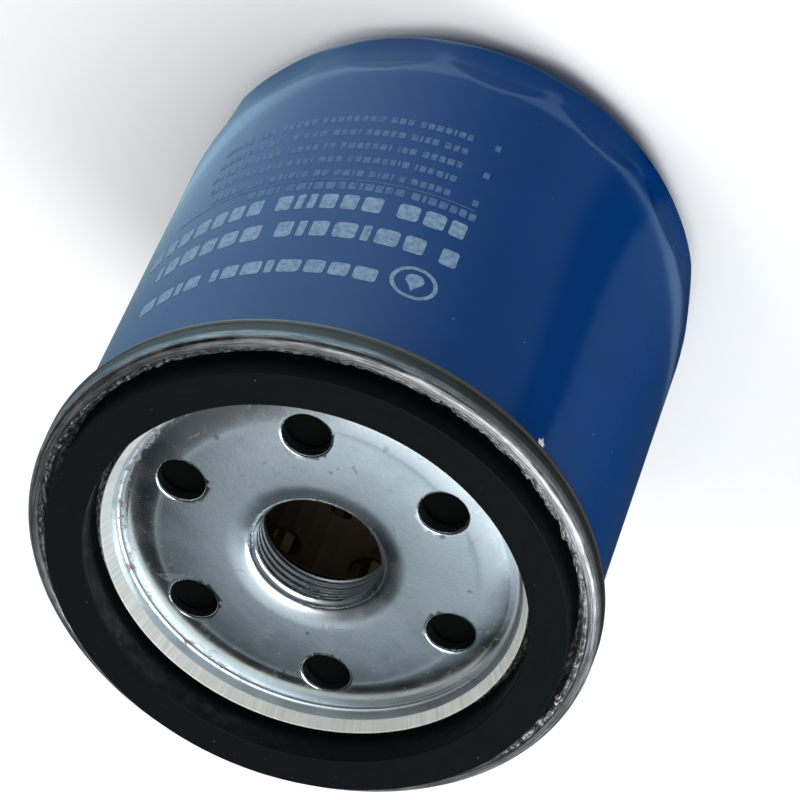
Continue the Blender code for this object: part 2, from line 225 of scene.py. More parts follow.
def make_can():
    """The blue can: rounded closed end with wrench flats and a recess, wall, flange inside the seam."""
    inner = CAN_RADIUS - CAN_SHEET
    wall_top = SEAM_BOTTOM - 1.4
    flange_outer, flange_inner, flange_top = 38.5, 38.05, SEAM_BOTTOM + 2.8
    fine_rows, fine_top = 66, FLATS_TOP + FLATS_FADE + 0.4
    shoulder_steps = 28
    outside = [(flange_outer, flange_top), (flange_outer, SEAM_BOTTOM + 0.1)]
    outside += [(CAN_RADIUS, height) for height in (wall_top, 60.0, 40.0, 20.0)]
    outside += [(CAN_RADIUS, fine_top - 0.1 * step) for step in range(fine_rows)]
    for step in range(1, shoulder_steps + 1):
        angle = math.radians(90 * step / shoulder_steps)
        outside.append(
            (
                CAN_RADIUS - SHOULDER * (1 - math.cos(angle)),
                SHOULDER * (1 - math.sin(angle)),
            )
        )
    recess = rounded(
        [
            (END_RECESS_RADIUS + 5, 0),
            (END_RECESS_RADIUS + 1.0, 0, 0.8),
            (END_RECESS_RADIUS, END_RECESS, 0.8),
            (END_RECESS_RADIUS - 5, END_RECESS),
        ],
        5,
    )
    outside += recess + [(1.0, END_RECESS)]
    inside = [(1.0, END_RECESS + CAN_SHEET), (END_RECESS_RADIUS, END_RECESS + CAN_SHEET)]
    inside += [(END_RECESS_RADIUS + 1.2, CAN_SHEET), (CAN_RADIUS - SHOULDER, CAN_SHEET)]
    inside += [(inner - 3.0, 3.0), (inner - 1.0, SHOULDER), (inner, FLATS_TOP + 2)]
    inside += [(inner, wall_top), (flange_inner, SEAM_BOTTOM + 0.3), (flange_inner, flange_top)]

    def press_flats(radius, height, degrees):
        """Presses the outside onto the planes of the flats. Above their fade the planes clear the wall."""
        pitch = 360 / FLATS
        off_centre = np.radians((degrees - FLATS_PHASE) % pitch - pitch / 2)
        share = np.clip((FLATS_TOP + FLATS_FADE - height) / (2 * FLATS_FADE), 0, 1)
        share = share * share * (3 - 2 * share)
        taper = np.clip((FLATS_TOP - height) / FLATS_TOP, 0, 1)
        depth = FLAT_DEPTH * (0.8 * share + 0.35 * taper) - 0.2 * (share == 0)
        plane = (CAN_RADIUS - depth) / np.cos(off_centre)
        radius = radius - NECK_IN * share
        pressed = soft_min(radius, plane, 0.12)
        rows = np.arange(len(radius))[:, None]
        return np.where(rows < len(outside), np.minimum(pressed, radius), radius), height

    can = turned("can_shell", outside + inside, 420, press_flats)
    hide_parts("can")
    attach(can, "housing")
    return finish_mesh(can, 50)


def make_seam():
    """The seaming lid: gasket channel, rough cut edge, groove, then the double seam down to its hem."""
    under = PLATE_TOP - PLATE_THICKNESS - 0.05
    floor = GASKET_TOP - GASKET_HEIGHT - 0.02
    sheet = 0.5
    lid_inner, channel_inner, channel_outer = 27.2, 30.2, 37.45
    outline = rounded(
        [
            # the sheet's hidden side, from under the plate to the inside of the double seam
            (lid_inner, under - sheet),
            (30.75, under - sheet),
            (30.75, floor - sheet),
            (37.0, floor - sheet),
            (37.9, floor + 0.4),
            (37.9, SEAM_TOP - 0.7),
            (38.9, SEAM_TOP - 0.7),
            (39.5, SEAM_TOP - 1.6),
            (39.5, SEAM_BOTTOM + sheet),
            # the hem, and up the outer wall
            (38.75, SEAM_BOTTOM + sheet),
            (38.75, SEAM_BOTTOM, 0.1),
            (39.8, SEAM_BOTTOM, 0.18),
            (39.97, SEAM_BOTTOM + 0.55, 0.25),
            (39.78, SEAM_BOTTOM + 1.0, 0.4),
            (39.93, SEAM_BOTTOM + 1.7, 0.6),
            (39.84, SEAM_TOP - 0.1, 1.0),
            # the groove and the cut edge
            (38.5, SEAM_TOP, 0.1),
            (38.38, SEAM_TOP - 0.22, 0.08),
            (38.26, SEAM_TOP - 0.04, 0.06),
            (37.86, SEAM_TOP - 0.02, 0.1),
            (37.5, SEAM_TOP - 0.14, 0.1),
            # the channel that holds the gasket
            (channel_outer, SEAM_TOP - 0.75),
            (channel_outer, floor + 0.3, 0.5),
            (channel_inner, floor, 0.2),
            (channel_inner, under),
            (lid_inner, under),
        ]
    )

    def tear(radius, height, degrees):
        """Frays the cut edge: each point of the lip moves by noise that fades away from the edge."""
        lip = np.clip((38.36 - radius) / 0.12, 0, 1) * np.clip((height - SEAM_TOP + 0.9) / 0.6, 0, 1)
        turn = degrees[0]
        fine = ragged(turn, 420, 3.1)
        chunky = ragged(turn, 150, 8.2)
        patchy = np.clip(0.65 + 0.9 * ragged(turn, 16, 5.7), 0.25, 1.2)
        inward = (0.24 * fine + 0.34 * chunky) * patchy
        upward = (0.3 * ragged(turn, 380, 1.4) + 0.2 * chunky) * patchy - 0.1
        return radius - lip * inward, height + np.minimum(lip * upward, 0.0)

    seam = turned("seam_ring", outline, 900, tear)
    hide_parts("seaming_lid")
    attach(seam, "housing")
    return finish_mesh(seam, 48)


def make_gasket():
    low = GASKET_TOP - GASKET_HEIGHT
    outline = rounded(
        [
            (GASKET_INNER, low, 0.3),
            (GASKET_OUTER, low, 0.3),
            (GASKET_OUTER, GASKET_TOP, 0.22),
            (GASKET_INNER + 0.02, GASKET_TOP, 0.22),
        ]
    )
    gasket = turned("gasket_ring", outline, 300)
    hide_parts("sealing_gasket")
    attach(gasket, "housing")
    return finish_mesh(gasket, 40)


def thread_depth(height, degrees):
    """(how deep the thread is cut, how far it has begun below the neck's entry), each from 0 to 1."""
    turn = ((height - NECK_BOTTOM) / THREAD_PITCH - degrees / 360) % 1.0
    flank = np.clip((np.abs(turn - 0.5) * 2 - 0.22) / 0.62, 0, 1)
    cut = flank * flank * (3 - 2 * flank) * 0.35 + flank * 0.65
    entry = PLATE_TOP - NECK_ENTRY_DROP
    fade_in = np.clip((entry - 0.1 - height) / 0.5, 0, 1)
    fade_out = np.clip((height - NECK_BOTTOM - 0.1) / 0.5, 0, 1)
    return cut * fade_out, fade_in


def make_plate():
    """The tapping plate: the rim's cut face, rolled-off edge, countersunk neck with its thread, inlets."""
    edge_steps, dome_steps, entry_steps = 22, 12, 20
    bottom = PLATE_TOP - PLATE_THICKNESS
    entry = PLATE_TOP - NECK_ENTRY_DROP
    foot = PLATE_TOP - EDGE_DROP
    outline = rounded(
        [
            (RIM_OUTER, bottom + 0.4),
            (RIM_OUTER, RIM_TOP, 0.1),
            (RIM_OUTER - 0.25, RIM_TOP, 0.1),
            (RIM_BREAK, RIM_BREAK_HEIGHT, 0.15),
            (RIM_FOOT + 0.15, foot + 0.1, 0.6),
            (RIM_FOOT - 0.9, foot - 0.04, 0.15),
        ],
        5,
    )
    edge = RIM_FOOT - 1.1
    for step in range(1, edge_steps + 1):
        share = 1 - step / edge_steps
        outline.append(
            (
                EDGE_START + (edge - EDGE_START) * share,
                PLATE_TOP - DOME - (EDGE_DROP - DOME) * share**1.6,
            )
        )
    for step in range(dome_steps + 1):
        share = 1 - step / dome_steps
        outline.append(
            (
                NECK_ENTRY_RADIUS + 0.2 + (EDGE_START - NECK_ENTRY_RADIUS - 0.25) * share,
                PLATE_TOP - DOME * share * share,
            )
        )
    for step in range(1, entry_steps + 1):
        angle = math.radians(90 * step / entry_steps)
        outline.append(
            (
                NECK_ENTRY_RADIUS - (NECK_ENTRY_RADIUS - NECK_MOUTH) * math.sin(angle),
                PLATE_TOP - NECK_ENTRY_DROP * (1 - math.cos(angle)),
            )
        )
    bore_rows = int((entry - NECK_BOTTOM) / 0.07)
    bore_start = len(outline)
    outline += between((NECK_MOUTH, entry), (NECK_MOUTH, NECK_BOTTOM), bore_rows)
    bore_end = len(outline)
    outline += rounded(
        [
            (NECK_MOUTH, NECK_BOTTOM, 0.2),
            (NECK_OUTER, NECK_BOTTOM, 0.4),
            (NECK_OUTER, bottom - 0.1, 0.4),
            (NECK_OUTER + 0.6, bottom),
            (RIM_OUTER - 0.4, bottom),
        ],
        4,
    )

    def cut_thread(radius, height, degrees):
        cut, fade_in = thread_depth(height, degrees)
        threaded = THREAD_CREST + (THREAD_ROOT - THREAD_CREST) * cut
        threaded = NECK_MOUTH + (threaded - NECK_MOUTH) * fade_in
        rows = np.arange(len(radius))[:, None]
        in_bore = (rows >= bore_start) & (rows < bore_end)
        return np.where(in_bore, threaded, radius), height

    plate = turned("tapping_plate", outline, 360, cut_thread)
    punch = [make_punch(INLET_PHASE + 360 * index / INLETS) for index in range(INLETS)]
    cut_away(plate, punch)
    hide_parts("base_plate")
    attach(plate, "housing")
    return finish_mesh(plate, 40)


def make_punch(degrees):
    """A cutter for one inlet hole, flared at the top to roll the hole's edge in, leaning with the dome."""
    lip, lip_steps = 0.45, 8
    share = (INLET_CIRCLE - NECK_ENTRY_RADIUS - 0.2) / (EDGE_START - NECK_ENTRY_RADIUS - 0.25)
    level = PLATE_TOP - DOME * share * share
    lean = -2 * DOME * share / (EDGE_START - NECK_ENTRY_RADIUS) - 0.012
    low = PLATE_TOP - PLATE_THICKNESS - 1
    outline = [(0.001, low), (INLET_RADIUS, low)]
    for step in range(lip_steps + 1):
        angle = math.radians(90 * step / lip_steps)
        outline.append(
            (
                INLET_RADIUS + lip * (1 - math.cos(angle)),
                level - lip * (1 - math.sin(angle)) - 0.004,
            )
        )
    wide = INLET_RADIUS + lip + 0.6
    outline += [(wide, level + 0.04), (wide, level + 1), (0.001, level + 1)]
    cutter = turned("punch", outline, 72, closed=False)
    leaning = Matrix.Identity(4)
    leaning[2][0] = lean
    outwards = Matrix.Translation((INLET_CIRCLE * MM, 0, 0))
    around = Matrix.Rotation(math.radians(degrees), 4, "Z")
    cutter.data.transform(around @ outwards @ leaning)
    return cutter


def cut_away(target, cutters):
    for cutter in cutters:
        modifier = target.modifiers.new("cut", "BOOLEAN")
        modifier.operation, modifier.solver, modifier.object = "DIFFERENCE", "EXACT", cutter
    graph = bpy.context.evaluated_depsgraph_get()
    mesh = bpy.data.meshes.new_from_object(target.evaluated_get(graph))
    target.modifiers.clear()
    target.data = mesh
    for cutter in cutters:
        bpy.data.objects.remove(cutter)


def make_coil(name, node, body, wire, turns, joint, travel, fixed_low):
    """A coil spring in place of a CAD one."""
    bottom, top, outer = millimetres(node)
    radius = outer - wire
    low, high = bottom + wire, top - wire
    sides, per_turn = 14, 48
    verts, faces = [], []
    rings = turns * per_turn + 1
    for ring in range(rings):
        turn = ring / per_turn
        middle = low + (high - low) * min(max((turn - 0.5) / (turns - 1), 0), 1)
        c, s = math.cos(2 * math.pi * turn), math.sin(2 * math.pi * turn)
        for side in range(sides):
            around = 2 * math.pi * side / sides
            reach = radius + wire * math.cos(around)
            verts.append((reach * c, reach * s, middle + wire * math.sin(around)))
    for ring in range(rings - 1):
        for side in range(sides):
            a, b = ring * sides + side, ring * sides + (side + 1) % sides
            faces.append((a, b, b + sides, a + sides))
    faces.append(tuple(range(sides)))
    faces.append(tuple((rings - 1) * sides + side for side in reversed(range(sides))))
    spring = new_object(name, np.array(verts) * MM, faces)
    outward(spring)
    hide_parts(node)
    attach(spring, body)
    finish_mesh(spring, 50)
    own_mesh(spring)
    return spring


# ---------------------------------------------------------------- printing


class Sheet:
    """Flat ink shapes laid on the can's wall: x runs round the wall from an angle, y is the height."""

    def __init__(self, proud):
        self.radius = CAN_RADIUS + proud
        self.verts, self.faces = [], []

    def place(self, x, y):
        angle = x / CAN_RADIUS
        self.verts.append(
            (self.radius * math.cos(angle) * MM, self.radius * math.sin(angle) * MM, y * MM)
        )
        return len(self.verts) - 1

    def ladder(self, rungs):
        """Faces between pairs of points, each pair ((x, y), (x, y))."""
        rungs = [(self.place(*first), self.place(*second)) for first, second in rungs]
        for near, far in zip(rungs, rungs[1:]):
            self.faces.append((near[0], far[0], far[1], near[1]))

    def bar(self, x, y, length, height, corner=0.3):
        """A bar starting at x and centred on height y, its corners rounded by this share of its height."""
        ease = corner * min(height, length)
        ends = [ease * (1 - math.cos(math.radians(22.5 * step))) for step in range(5)]
        count = max(1, round((length - 2 * ease) / 0.8))
        middle = [ease + (length - 2 * ease) * step / count for step in range(1, count)]
        rungs = []
        for at in ends + middle + [length - end for end in reversed(ends)]:
            short = 1 - min(at, length - at, ease) / ease
            half = height / 2 - ease * (1 - math.sqrt(1 - short * short))
            rungs.append(((x + at, y - half), (x + at, y + half)))
        self.ladder(rungs)

    def ring(self, x, y, outer, inner, count=48):
        turn = [2 * math.pi * step / count for step in range(count + 1)]
        self.ladder(
            [
                tuple((x + r * math.cos(a), y + r * math.sin(a)) for r in (outer, inner))
                for a in turn
            ]
        )

    def drop(self, x, y, size):
        """An oil drop: a round foot drawn up to a point."""
        rungs = []
        for step in range(17):
            rise = -1.0 + 2.9 * step / 16
            if rise < 0.35:
                half = math.sqrt(max(1 - rise**2, 0))
            else:
                half = 0.937 * (max(1.9 - rise, 0) / 1.55) ** 1.25
            level = y + (rise - 0.45) * size
            rungs.append(((x - half * size, level), (x + half * size, level)))
        self.ladder(rungs)

    def words(self, start, y, height, wide, counts, draw):
        """Words of plain blocks in place of lettering. counts holds how many blocks are in each word.

        wide is how wide they are against their height."""
        x = along_wall(start)
        for count in counts:
            for _ in range(count):
                width = height * wide * draw.choice((0.35, 0.75, 0.85, 0.9, 1.0))
                self.bar(x, y, width, height, 0.2)
                x += width + height * 0.22
            x += height * 0.45
        return x

    def make(self, name):
        obj = new_object(name, self.verts, self.faces)
        outward_from_axis(obj)
        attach(obj, "housing")
        return obj


def outward_from_axis(obj):
    bm = bmesh.new()
    bm.from_mesh(obj.data)
    bmesh.ops.remove_doubles(bm, verts=bm.verts, dist=1e-7)
    for face in bm.faces:
        face.normal_update()
        middle = face.calc_center_median()
        if face.normal.dot(Vector((middle.x, middle.y, 0))) < 0:
            face.normal_flip()
        face.smooth = True
    bm.to_mesh(obj.data)
    bm.free()


def along_wall(degrees):
    return math.radians(degrees) * CAN_RADIUS


def make_print():
    """Generic printing in place of the label: a drop in a ring, block words, a rule, and small rows."""
    draw = random.Random(5)
    proud = 0.03
    large, small = Sheet(proud), Sheet(proud)
    badge, badge_level = along_wall(PRINT_START + 6), 59.4
    large.ring(badge, badge_level, 3.3, 2.7)
    large.drop(badge, badge_level, 1.3)
    # degrees past the start, level, height of a block, its width against that, blocks per word
    headings = (
        (13.4, 60.4, 2.8, 1.15, (8, 4)),
        (-0.5, 51.9, 3.4, 0.95, (1, 7, 6)),
        (0.2, 45.6, 3.3, 0.9, (3, 6, 7)),
    )
    for past, level, tall, wide, counts in headings:
        large.words(PRINT_START + past, level, tall, wide, counts, draw)
    small.words(PRINT_START - 0.6, 41.9, 1.6, 0.85, (7, 12, 4), draw)
    small.bar(along_wall(PRINT_START), 40.5, along_wall(70), 0.18)
    tall, wide = 1.35, 0.75
    rows = (
        (5, 1, 4, 4, 2, 6, 3, 5),
        (6, 8, 3, 4, 7, 5),
        (5, 3, 7, 2, 5, 6, 4),
        (3, 4, 5, 4, 6, 2, 7),
        (7, 3, 8, 5, 3, 5),
    )
    for index, counts in enumerate(rows):
        level = ROW_TOP - ROW_PITCH * index
        small.words(PRINT_START + 6.2, level, tall, wide, counts, draw)
        if index % 2 == 0:
            small.words(PRINT_START, level, tall, wide, (1,), draw)
    return large.make("print_marks"), small.make("fine_print")


# ---------------------------------------------------------------- materials


class Graph:
    """Adds and links the nodes of one material."""

    def __init__(self, name, **constants):
        self.material = bpy.data.materials.new(name)
        self.material.use_nodes = True
        self.tree = self.material.node_tree
        self.shader = self.tree.nodes["Principled BSDF"]
        for socket, value in constants.items():
            self.shader.inputs[socket.replace("_", " ")].default_value = value
        place = self.tree.nodes.new("ShaderNodeTexCoord").outputs["Object"]
        self.place = self.vector("SCALE", place, scale=1 / MM)  # millimetres
        split = self.tree.nodes.new("ShaderNodeSeparateXYZ")
        self.tree.links.new(self.place, split.inputs[0])
        self.x, self.y, self.z = split.outputs
        squares = [self.math("MULTIPLY", axis, axis) for axis in (self.x, self.y)]
        self.radius = self.math("SQRT", self.math("ADD", *squares))

    def give(self, socket, value):
        if isinstance(value, bpy.types.NodeSocket):
            self.tree.links.new(value, socket)
        elif value is not None:
            socket.default_value = value

    def math(self, operation, a, b=None):
        node = self.tree.nodes.new("ShaderNodeMath")
        node.operation = operation
        self.give(node.inputs[0], a)
        self.give(node.inputs[1], b)
        return node.outputs[0]

    def product(self, *factors):
        return functools.reduce(lambda a, b: self.math("MULTIPLY", a, b), factors)

    def most(self, *values):
        return functools.reduce(lambda a, b: self.math("MAXIMUM", a, b), values)

    def vector(self, operation, a, b=None, scale=None):
        node = self.tree.nodes.new("ShaderNodeVectorMath")
        node.operation = operation
        self.give(node.inputs[0], a)
        self.give(node.inputs[1], b)
        if operation == "SCALE":
            self.give(node.inputs["Scale"], scale)
        return node.outputs["Value" if operation == "LENGTH" else "Vector"]

    def combine(self, x, y, z):
        node = self.tree.nodes.new("ShaderNodeCombineXYZ")
        for socket, value in zip(node.inputs, (x, y, z)):
            self.give(socket, value)
        return node.outputs[0]

    def round_place(self, around, along_radius, along_height):
        """A place for noise in a ring: cells per turn, and per millimetre of radius and of height."""
        spread = around / (2 * math.pi)
        across = self.math("MULTIPLY", self.math("DIVIDE", self.x, self.radius), spread)
        onward = self.math("MULTIPLY", self.math("DIVIDE", self.y, self.radius), spread)
        third = self.math(
            "ADD",
            self.math("MULTIPLY", self.radius, along_radius),
            self.math("MULTIPLY", self.z, along_height),
        )
        return self.combine(across, onward, third)

    def noise(self, scale, detail=3.0, roughness=0.5, place=None, distortion=0.0):
        node = self.tree.nodes.new("ShaderNodeTexNoise")
        self.give(node.inputs["Vector"], place if place is not None else self.place)
        node.inputs["Scale"].default_value = scale
        node.inputs["Detail"].default_value = detail
        node.inputs["Roughness"].default_value = roughness
        node.inputs["Distortion"].default_value = distortion
        return node.outputs["Fac"]

    def cells(self, scale):
        """Distance to the nearest of randomly strewn points."""
        node = self.tree.nodes.new("ShaderNodeTexVoronoi")
        self.give(node.inputs["Vector"], self.place)
        node.inputs["Scale"].default_value = scale
        return node.outputs["Distance"]

    def rise(self, value, low, high, to_low=0.0, to_high=1.0):
        """Maps value from low..high to to_low..to_high, smoothly and clamped."""
        node = self.tree.nodes.new("ShaderNodeMapRange")
        node.interpolation_type = "SMOOTHSTEP"
        for socket, given in zip(node.inputs, (value, low, high, to_low, to_high)):
            self.give(socket, given)
        return node.outputs[0]

    def mix(self, share, a, b):
        node = self.tree.nodes.new("ShaderNodeMix")
        node.data_type = "RGBA"
        self.give(node.inputs[0], share)
        for socket, value in ((node.inputs[6], a), (node.inputs[7], b)):
            self.give(socket, (*value, 1.0) if isinstance(value, tuple) else value)
        return node.outputs[2]

    def bump(self, height, distance):
        """Raises the surface by height times this many millimetres. Call it again to add finer bumps."""
        node = self.tree.nodes.new("ShaderNodeBump")
        self.give(node.inputs["Height"], height)
        node.inputs["Distance"].default_value = distance * MM
        node.inputs["Strength"].default_value = 1.0
        before = self.shader.inputs["Normal"].links
        if before:
            self.tree.links.new(before[0].from_socket, node.inputs["Normal"])
        self.tree.links.new(node.outputs[0], self.shader.inputs["Normal"])

    def set(self, socket, value):
        self.give(self.shader.inputs[socket], value)


def blue_paint():
    """Glossy stoved enamel: deep blue, faintly uneven, with dust specks and fine rub marks up the wall."""
    g = Graph("blue_enamel", IOR=1.45, Metallic=0.0)
    drift = g.noise(0.045, 3)
    colour = g.mix(drift, (0.0002, 0.033, 0.160), (0.0004, 0.042, 0.195))
    rub = g.noise(1.0, 4, 0.6, g.round_place(420, 0.0, 0.05))
    colour = g.mix(g.rise(rub, 0.64, 0.82, 0, 0.16), colour, (0.02, 0.075, 0.2))
    specks = g.rise(g.cells(0.42), 0.05, 0.09, 0.55, 0)
    few = g.rise(g.noise(0.3, 1), 0.6, 0.72)
    colour = g.mix(g.product(specks, few), colour, (0.3, 0.38, 0.5))
    # a small pale spot with a ragged edge, painted on the paint beside the seam
    pale_spot = math.radians(PALE_SPOT_ANGLE)
    place = (CAN_RADIUS * math.cos(pale_spot), CAN_RADIUS * math.sin(pale_spot), PALE_SPOT_HEIGHT)
    offset = g.vector("MULTIPLY", g.vector("SUBTRACT", g.place, place), (1.5, 1.5, 0.7))
    ragged_length = g.math("ADD", g.vector("LENGTH", offset), g.product(g.noise(1.4, 3), 1.6))
    colour = g.mix(g.rise(ragged_length, 1.5, 1.7, 1, 0), colour, (0.75, 0.8, 0.85))
    g.set("Base Color", colour)
    g.set("Roughness", g.rise(g.noise(0.35, 5, 0.6), 0.3, 0.75, 0.09, 0.15))
    g.bump(g.noise(0.75, 3, 0.5), 0.006)
    return g.material


def print_ink(name, thin, full):
    """Pale-blue screen print, slightly worn: thin and full are its colours where least and most is left."""
    g = Graph(name, IOR=1.3, Roughness=0.42)
    worn = g.rise(g.noise(1.3, 5, 0.7), 0.34, 0.6)
    g.set("Base Color", g.mix(worn, thin, full))
    g.bump(g.noise(2.5, 3), 0.01)
    return g.material


def seam_steel():
    """Bare rolled steel: lines round the ring, a painted dark reflection on the outer wall, and a rough
    torn edge at the groove.
    """
    g = Graph("rolled_steel", Metallic=1.0)
    lines = g.noise(1.0, 5, 0.7, g.round_place(34, 9.0, 9.0))
    blotch = g.noise(0.28, 4, 0.6)
    colour = g.mix(g.rise(lines, 0.36, 0.64), (0.11, 0.107, 0.105), (0.52, 0.52, 0.53))
    colour = g.mix(g.rise(blotch, 0.45, 0.75, 0, 0.6), colour, (0.12, 0.115, 0.11))
    # the outer wall's colour is darkened as a painted dark reflection, less dark at the hem's curl
    wall = g.rise(g.z, SEAM_TOP - 1.9, SEAM_TOP - 1.2, 1, 0)
    above_curl = g.rise(g.z, SEAM_BOTTOM + 0.6, SEAM_BOTTOM + 0.9)
    painted_dark_reflection = g.mix(above_curl, (0.2, 0.16, 0.14), (0.075, 0.066, 0.058))
    colour = g.mix(g.product(wall, 0.9), colour, painted_dark_reflection)
    torn = g.rise(g.radius, 38.05, 38.3, 1, 0)
    pits = g.noise(1.0, 4, 0.7, g.round_place(210, 4.0, 3.0))
    glint = g.rise(pits, 0.44, 0.68)
    colour = g.mix(torn, colour, g.mix(glint, (0.10, 0.095, 0.09), (0.85, 0.86, 0.86)))
    g.set("Base Color", colour)
    g.set("Roughness", g.rise(lines, 0.2, 0.8, 0.28, 0.44))
    g.bump(lines, 0.09)
    g.bump(g.product(pits, torn), 0.3)
    return g.material


def gasket_rubber():
    """Moulded nitrile rubber: near black, satin, faint flow marks round the ring and a few dust specks."""
    g = Graph("gasket_rubber", IOR=1.16)
    flow = g.noise(1.0, 4, 0.6, g.round_place(40, 1.5, 1.5))
    colour = g.mix(flow, (0.0020, 0.0030, 0.0034), (0.0042, 0.0055, 0.0060))
    specks = g.rise(g.cells(0.55), 0.04, 0.085, 1, 0)
    dust = g.product(specks, g.rise(g.noise(0.4, 2), 0.5, 0.66))
    colour = g.mix(g.product(dust, 0.5), colour, (0.13, 0.11, 0.09))
    g.set("Base Color", colour)
    g.set("Roughness", g.rise(g.noise(0.5, 5, 0.65), 0.3, 0.7, 0.42, 0.62))
    g.bump(g.noise(3.0, 4, 0.6), 0.02)
    return g.material


def zinc():
    """Bright zinc over pressed steel: clouded, with smudges, rust in the groove and a raw cut face."""
    g = Graph("bright_zinc", Metallic=1.0)
    cloud = g.noise(0.11, 5, 0.6, distortion=0.6)
    grain = g.noise(1.8, 4, 0.6)
    colour = g.mix(cloud, (0.58, 0.65, 0.68), (0.74, 0.80, 0.83))
    colour = g.mix(g.rise(grain, 0.5, 0.8, 0, 0.2), colour, (0.45, 0.49, 0.51))
    smudge = g.rise(g.noise(0.32, 5, 0.7, distortion=1.2), 0.585, 0.69)
    colour = g.mix(g.product(smudge, 0.4), colour, (0.26, 0.235, 0.21))
    fleck = g.product(g.rise(g.cells(0.3), 0.10, 0.2, 1, 0), g.rise(g.noise(0.22, 2), 0.55, 0.64))
    colour = g.mix(g.product(fleck, 0.6), colour, (0.13, 0.085, 0.06))
    # rust along the foot of the rim, in patches
    groove = g.product(
        g.rise(g.radius, RIM_FOOT - 1.3, RIM_FOOT - 0.6),
        g.rise(g.radius, RIM_FOOT + 0.1, RIM_FOOT + 0.4, 1, 0),
    )
    patch = g.rise(g.noise(0.5, 4, 0.7), 0.52, 0.62)
    rust = g.product(groove, patch, g.rise(g.x, -4, 10))
    colour = g.mix(g.product(rust, 0.85), colour, (0.10, 0.052, 0.028))
    # the rim's cut face, scored across by the shear
    face = g.product(
        g.rise(g.radius, RIM_BREAK - 0.02, RIM_BREAK + 0.08),
        g.rise(g.z, RIM_BREAK_HEIGHT - 0.1, RIM_BREAK_HEIGHT),
    )
    score = g.noise(1.0, 3, 0.6, g.round_place(520, 0.12, 0.0))
    raw = g.mix(g.rise(score, 0.3, 0.7), (0.56, 0.57, 0.52), (0.72, 0.73, 0.68))
    tint = g.noise(0.07, 2)
    raw = g.mix(g.rise(tint, 0.4, 0.65, 0, 0.5), raw, (0.52, 0.57, 0.58))
    colour = g.mix(face, colour, raw)
    g.set("Base Color", colour)
    g.set("Metallic", g.math("SUBTRACT", 1.0, g.most(rust, g.product(face, 0.8))))
    polish = g.rise(g.noise(0.2, 4, 0.6), 0.3, 0.7, 0.17, 0.25)
    rolled = g.rise(g.radius, RIM_FOOT - 0.9, RIM_FOOT - 0.2)
    neck = g.rise(g.radius, NECK_MOUTH, NECK_ENTRY_RADIUS, 0.5, 0)
    dulled = g.most(face, smudge, g.product(rolled, 1.8), neck)
    g.set("Roughness", g.math("ADD", polish, g.product(dulled, 0.16)))
    g.bump(g.product(score, face), 0.02)
    g.bump(g.noise(2.4, 4, 0.6), 0.006)
    g.bump(cloud, 0.015)
    return g.material


def inner_steel(name, tone, roughness):
    """Oiled plain steel for the parts inside."""
    g = Graph(name, Metallic=1.0)
    grain = g.noise(0.6, 5, 0.65)
    colour = g.mix(grain, tuple(0.62 * c for c in tone), tone)
    stain = g.rise(g.noise(0.15, 4, 0.7), 0.5, 0.7, 0, 0.6)
    g.set("Base Color", g.mix(stain, colour, (0.16, 0.10, 0.055)))
    g.set("Roughness", g.rise(grain, 0.3, 0.7, roughness - 0.08, roughness + 0.1))
    g.bump(grain, 0.02)
    return g.material


def soft_material(name, dark, light, roughness, scale, raised, ior=1.4):
    """Matt filler, rubber or paper: two tones of grain."""
    g = Graph(name, IOR=ior)
    grain = g.noise(scale, 5, 0.7)
    g.set("Base Color", g.mix(grain, dark, light))
    g.set("Roughness", g.rise(grain, 0.3, 0.7, roughness - 0.1, roughness))
    g.bump(grain, raised)
    return g.material


def filter_paper():
    """Resin-treated paper: buff, fibrous, with faint ribs along the pleats."""
    g = Graph("pleat_paper", IOR=1.4, Roughness=0.85)
    fibre = g.noise(1.0, 5, 0.75, g.vector("MULTIPLY", g.place, (2.2, 2.2, 0.5)))
    g.set("Base Color", g.mix(fibre, (0.52, 0.36, 0.15), (0.80, 0.64, 0.36)))
    g.bump(fibre, 0.05)
    return g.material


def dress(obj, material):
    obj.data.materials.clear()
    obj.data.materials.append(material)


# ---------------------------------------------------------------- studio


def add_light(name, place, aim, size, power, colour=(1, 1, 1)):
    data = bpy.data.lights.new(name, "AREA")
    data.shape, data.size, data.energy, data.color = "DISK", size, power, colour
    lamp = bpy.data.objects.new(name, data)
    lamp.location = place
    lamp.rotation_euler = (Vector(aim) - Vector(place)).to_track_quat("-Z", "Y").to_euler()
    bpy.context.scene.collection.objects.link(lamp)
    return lamp


